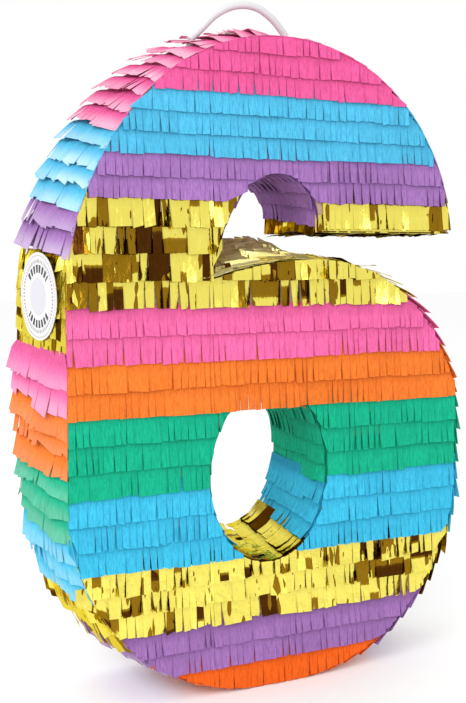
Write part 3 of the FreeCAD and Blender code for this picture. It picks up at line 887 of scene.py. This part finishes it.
def side_style(name, band, height, metal):
    """Big overlapping sheets; on the left wall they stand out more towards the back."""
    fluff = 1.0 - smooth((FOOT - height) / 0.035)
    high = smooth((height - UPPER_HALF) / 0.12)
    low = smooth((LOWER_HALF - height) / 0.09)
    top = smooth((height - CROWN) / 0.035)
    if name == "left":
        def flare(u):
            back = BACK_FLARE - 2.0 * high - 5.5 * low + 1.0 * top
            return fluff * back * max(0.0, (u + SIDE_REACH) / (2 * SIDE_REACH)) * MM
    elif name == "stroke_end":
        def flare(u):
            return STROKE_END_FLARE * (1 - top) * MM
    else:
        def flare(u):
            return 0.3 * fluff * MM
    changes = dict(
        rise=(1.2 + 1.3 * fluff) * MM, lift=(0.2 + 1.8 * fluff) * MM, spread=0.5 * fluff * MM,
        flare=flare, twist=(0.2 + 0.3 * fluff) * MM, gap=0.3 * MM, group=3, width=7.0 * MM, wide=0.25,
        wave=1.5 * fluff * MM, ragged=1.6 * MM, header=0.55, bend=1.3, lean=0.5 * MM,
        slant=0.7 * MM, root=0.5 * MM, pale_from=0.45, afloat=0.6, edge=0.5 - 0.3 * top,
        # Painted highlight, stronger higher up where the light falls.
        pale=HIGHLIGHT_BY_WALL[name] * HIGHLIGHT_BY_TISSUE[band[3:]] * (0.6 + 0.4 * high), stations=9,
        # Painted shade, lighter at the crown top.
        shade=0.35 - 0.29 * top if name == "left" else 0.06,
    )
    if name != "right":
        changes["press"] = front_press
    if metal:
        changes = dict(FOIL_CHANGES, **changes)
        changes.update(dark=lambda u, chance: painted_foil_reflection(chance, 0.25), width=6.5 * MM)
    return style(**changes)


def under_sheet(look):
    """Uncut paper a little below a row of side tabs, seen in the gaps between them."""
    flare = look["flare"]
    return dict(look, lift=0.0, spread=0.0, wave=0.0, twist=0.0, gap=0.0, slant=0.0, lean=0.0, split=0.0,
                rise=0.6 * MM, ragged=0.3 * MM, width=25 * MM, wide=0.0, afloat=1.0, edge=0.0,
                pale=0.5 * look["pale"], flare=lambda u: 0.65 * flare(u))


CROWN_ROOT = 0.9 * MM                       # the left rows lie over the others at the crown
CROWN_PASS = 3 * MM                         # how far they pass the highest point
LABEL_SLOPE = 7.5 * MM                      # rise of the foil across the door, as the label leans


def make_sides(ways):
    """Bands round the outside: two ways down from the crown and one down the bowl's right side."""
    rng = random.Random(5)
    door = Sheaf()
    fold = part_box("fill_flap")[1].z
    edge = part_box("fill_flap")[1].y
    door_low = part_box("fill_flap")[0].z
    for index, band in enumerate(BANDS):
        sheaf = Sheaf()
        for name in ("left", "stroke_end", "right"):
            walk = ways[name]
            word = "side" if name == "left" else "front"
            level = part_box(word + "_fringe_" + band)[0].z
            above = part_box(word + "_fringe_" + BANDS[index - 1])[0].z if index else 1.0
            if walk.points[0].y < level:
                continue
            start = 0.0 if walk.points[0].y < above else walk.reach(above)
            end = walk.length + 4 * MM if index == len(BANDS) - 1 else walk.reach(level)
            if end - start < 5 * MM:
                continue
            metal = "gold" in band
            for tip, pitch in band_rows(start, end, SIDE_PITCH):
                root = tip - pitch * OVERLAP
                root = max(root, -CROWN_PASS if name == "left" else 0.0)
                length = tip - root
                height = walk.point(root).y
                look = side_style(name, band, height, metal)
                if name == "left" and root < 0:
                    look["root"] = CROWN_ROOT
                flat = smooth((0.055 - height) / 0.05)
                skew = SIDE_SKEW * (1 - flat) if name == "left" else 0.0
                place = wall_place(walk, root, 0.92 + 0.08 * flat, skew)
                if name == "left" and metal and walk.point(tip).y < fold and height > door_low:
                    door_rows(sheaf, door, rng, walk, place, root, tip, edge, fold, look)
                else:
                    if name == "left":
                        below = under_sheet(look)
                        fringe_row(sheaf, rng, place, -SIDE_REACH, SIDE_REACH, length, below)
                    fringe_row(sheaf, rng, place, -SIDE_REACH, SIDE_REACH, length, look)
        sheaf.piece("tabs_side_fringe_" + band, SLOTS[band], "figure", "side_fringe_" + band)
    door.piece("tabs_flap_fringe", "foil_gold", "filling_door", "flap_fringe")


def door_rows(sheaf, door, rng, walk, place, root, tip, edge, fold, look):
    """A foil row beside the filling door, and its share on the door, under the label."""
    calm = dict(look, lift=0.4 * MM, spread=0.3 * MM, twist=0.4 * MM, rise=0.6 * MM, wave=0.5 * MM)
    front = dict(calm, root=0.5 * MM, flare=lambda u: 0.0)
    fringe_row(sheaf, rng, place, -SIDE_REACH, -edge, tip - root, front)
    slope = LABEL_SLOPE / (2 * edge)
    back = dict(calm, root=0.4 * MM, afloat=0.9, flare=lambda u: 0.3 * MM + slope * (u + edge))
    fringe_row(sheaf, rng, place, edge, SIDE_REACH, tip - root, back)
    start = max(root, walk.reach(fold) + 0.5 * MM)
    fringe_row(door, rng, wall_place(walk, start, 1.0), -edge, edge, tip - start, back)


def lining(ways, names, node, slot, start_z, end_z, rng, skew=0.0, pitch=LINING_PITCH, **changes):
    """Fringe inside the hole or the notch between two levels."""
    sheaf = Sheaf()
    # Linings take heavier painted shade.
    base = dict(rise=0.8 * MM, lift=0.8 * MM, spread=0.6 * MM, twist=0.5 * MM, ragged=1.0 * MM,
                gap=0.5 * MM, width=5.5 * MM, shade=0.6, wave=0.8 * MM, afloat=0.85)
    if slot == "foil_gold":
        base = dict(FOIL_CHANGES, **base)
        base["dark"] = lambda u, chance: painted_foil_reflection(chance, 0.06)
    base.update(changes)
    for name in names:
        walk = ways[name]
        start = 0.0 if walk.points[0].y <= start_z else walk.reach(start_z)
        end = walk.reach(end_z)
        if end - start < 3 * MM:
            continue
        for tip, step in band_rows(start, end, pitch):
            root = max(tip - step * OVERLAP, 0.0)
            fringe_row(sheaf, rng, wall_place(walk, root, 1.0, skew), -HALF, HALF, tip - root, style(**base))
        add_shade_strip(sheaf, walk, start, end)
    sheaf.piece("tabs_" + node, slot, "figure", node)


def add_shade_strip(sheaf, walk, start, end):
    """A thin strip at the front of a lining, coloured fully dark as painted shade: the thin dark line along
    the front of an opening.
    """
    reach = 1.6 * MM
    steps = max(2, int((end - start) / (4 * MM)))
    upper, lower, tabs, looks = [], [], [], []
    for step in range(steps + 1):
        s = start + (end - start) * step / steps
        here, _, out = walk.frame(s)
        rows = []
        for h in (0.9 * MM, 0.1 * MM):
            spot = here + out * h
            rows.append([Vector((spot.x, -HALF - reach * (1 - c), spot.y)) for c in (0.0, 1.0)])
        upper.append(rows[0])
        lower.append(rows[1])
        tabs.append([(c, s / MM, 3.0) for c in (0.0, 1.0)])
        # Full painted shade.
        looks.append([(DARK, 1.0, 0.0)] * 2)
    across = upper[0][1] - upper[0][0]
    down = upper[1][0] - upper[0][0]
    off = upper[0][0] - lower[0][0]
    sheaf.grid(upper, lower, tabs, looks, across.cross(down).dot(off) > 0)


def make_linings(ways):
    """Fringe in the hole and in the notch."""
    rng = random.Random(23)
    hole = ("hole_left", "hole_right")

    def bulge(most):
        return lambda u: most * smooth((u + HALF) / (2 * HALF))

    for colour, slot, most in (("orange", "tissue_orange", 1.0), ("green", "tissue_green", 1.5),
                               ("blue", "tissue_blue_deep", 4.0), ("gold", "foil_gold", 7.0)):
        low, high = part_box("hole_fringe_" + colour)
        end = -1.0 if colour == "gold" else low.z
        lining(ways, hole, "hole_fringe_" + colour, slot, high.z, end, rng, 0.07, flare=bulge(most * MM))
    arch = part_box("notch_fringe_purple")
    lining(ways, ("notch_left", "notch_right"), "notch_fringe_purple", "tissue_purple", 1.0, arch[0].z,
           rng, 0.13, 12.0 * MM)
    lining(ways, ("notch_left",), "notch_fringe_gold", "foil_gold", arch[0].z, -1.0, rng)
    make_ledge(ways["ledge"])
    # Foil under the top stroke is mostly the dark painted reflection.
    lining(ways, ("notch_right", "underside"), "terminal_fringe_gold", "foil_gold", arch[0].z, -1.0, rng,
           dark=lambda u, chance: painted_foil_reflection(chance, 0.8))


HEAP_START = 34 * MM                        # distance in from the tip of the ledge
HEAP_TALL = 11.5 * MM
HEAP_LAYERS = (0.2, 0.4, 0.6, 0.8, 1.0)     # height of each layer as a share of the whole
HEAP_PITCH = 17 * MM


def make_ledge(walk):
    """Flat foil along the ledge, and strands heaped on its inner half, higher at the back, lightened all over
    by painted highlight.
    """
    rng = random.Random(31)
    sheaf = Sheaf()
    flat = dict(FOIL_CHANGES, dark=lambda u, chance: painted_foil_reflection(chance, 0.2), lift=2.0 * MM, slant=MM)
    for tip, step in band_rows(0.0, walk.length - 1 * MM, LINING_PITCH):
        root = max(tip - step * OVERLAP, 0.0)
        fringe_row(sheaf, rng, wall_place(walk, root, 1.0), -HALF, HALF, tip - root, style(**flat))
    for share in HEAP_LAYERS:
        def pile(u, s, share=share):
            ahead = smooth((s - HEAP_START) / (20 * MM)) * (1 - 0.35 * smooth((s - 75 * MM) / (30 * MM)))
            return ahead * (1.0 * MM + share * HEAP_TALL * smooth((u + HALF) / (1.5 * HALF)))

        for tip, step in band_rows(HEAP_START, walk.length - 1 * MM, HEAP_PITCH):
            root = max(tip - step * 1.6, 0.0)
            # Full painted highlight on the strands.
            strands = style(**dict(
                FOIL_CHANGES, width=2.6 * MM, wide=0.05, gap=0.7 * MM, header=0.10, lean=4.5 * MM,
                lift=1.2 * MM, spread=1.2 * MM, twist=0.6 * MM, ragged=4.0 * MM, pale=1.0, rise=0.5 * MM,
                dark=lambda u, chance: painted_foil_reflection(chance, 0.12), wave=0.6 * MM, shade=0.0, split=0.0,
                pale_from=-0.4, edge=0.2, face=1.7 * MM))
            fringe_row(sheaf, rng, wall_place(walk, root, 1.0, 0.0, pile), -HALF, HALF, tip - root, strands)
    sheaf.piece("tabs_ledge_fringe_gold", "foil_gold", "figure", "ledge_fringe_gold")


# ---------------------------------------------------------------- label and cord

def make_label():
    """Round sticker: a thin disc, slightly wavy towards its rim."""
    low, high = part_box("fill_label")
    radius = (high.z - low.z) / 2
    middle = (low + high) / 2
    thick = 0.5 * MM
    tilt = math.asin((high.x - low.x - 0.8 * MM) / (2 * radius))
    turn = Matrix.Rotation(tilt, 4, "Z") @ Matrix.Rotation(math.radians(-90), 4, "Y")
    rings = 10
    around = 96
    points, prints = [Vector((0, 0, 0))], [(0.0, 0.0, 0.0)]
    for r in range(1, rings + 1):
        for a in range(around):
            angle = 2 * math.pi * a / around
            x = radius * r / rings * math.cos(angle)
            y = radius * r / rings * math.sin(angle)
            wave = noise.noise(Vector((x * 60, y * 60, 3.0)))
            points.append(Vector((x, y, wave * 0.5 * MM * (r / rings) ** 2)))
            prints.append((r / rings, a / around, 0.0))
    count = len(points)
    points += [p - Vector((0, 0, thick)) for p in points]
    prints += prints
    faces = []
    for a in range(around):
        b = (a + 1) % around
        faces.append((0, 1 + a, 1 + b))
        faces.append((count, count + 1 + b, count + 1 + a))
        for r in range(rings - 1):
            inner, outer = 1 + r * around, 1 + (r + 1) * around
            faces.append((inner + a, outer + a, outer + b, inner + b))
            faces.append((count + inner + a, count + inner + b, count + outer + b, count + outer + a))
        rim = 1 + (rings - 1) * around
        faces.append((rim + a, count + rim + a, count + rim + b, rim + b))
    mesh = bpy.data.meshes.new("sticker")
    mesh.from_pydata([turn @ p + middle for p in points], [], faces)
    layer = mesh.attributes.new("print", "FLOAT_VECTOR", "POINT")
    layer.data.foreach_set("vector", [x for v in prints for x in v])
    mesh.materials.append(MATERIALS["label_paper"])
    item = bpy.data.objects.new("sticker", mesh)
    bpy.context.scene.collection.objects.link(item)
    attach(item, "filling_door")
    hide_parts("fill_label")


MID_X = 2.64 * MM                           # the shift that centres the whole part on X, as in part.py
LOOP_ROUTE = [
    (-46.5, 419.5),
    (-39.0, 426.2),
    (-28.0, 437.8),
    (-14.0, 444.6),
    (1.0, 445.2),
    (12.0, 439.3),
    (18.8, 433.0),
    (23.6, 427.3),
]
CORD_RADIUS = 2.4 * MM


def make_loop():
    """Free arch of the hanging cord."""
    curve = bpy.data.curves.new("cord_loop", "CURVE")
    curve.dimensions = "3D"
    spline = curve.splines.new("NURBS")
    spline.points.add(len(LOOP_ROUTE) - 1)
    for target, (x, z) in zip(spline.points, LOOP_ROUTE):
        target.co = (x * MM + MID_X, 0, z * MM, 1)
    spline.order_u = 3
    spline.use_endpoint_u = True
    spline.resolution_u = 12
    curve.bevel_depth = CORD_RADIUS
    curve.bevel_resolution = 6
    curve.use_fill_caps = True
    curve.materials.append(MATERIALS["cord"])
    item = bpy.data.objects.new("cord_loop", curve)
    bpy.context.scene.collection.objects.link(item)
    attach(item, "loop")
    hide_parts("hanging_loop")


def dress_cad():
    """Materials for the CAD nodes that stay in view."""
    for name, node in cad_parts.items():
        if node.hide_render:
            continue
        slot = "cord" if name.startswith("loop_") and name != "loop_patch" else "cardboard"
        node.data.materials.clear()
        node.data.materials.append(MATERIALS[slot])


make_camera()
make_loop()
make_studio()
make_floor()
WAYS = walks()
make_faces()
make_sides(WAYS)
make_linings(WAYS)
make_label()
dress_cad()
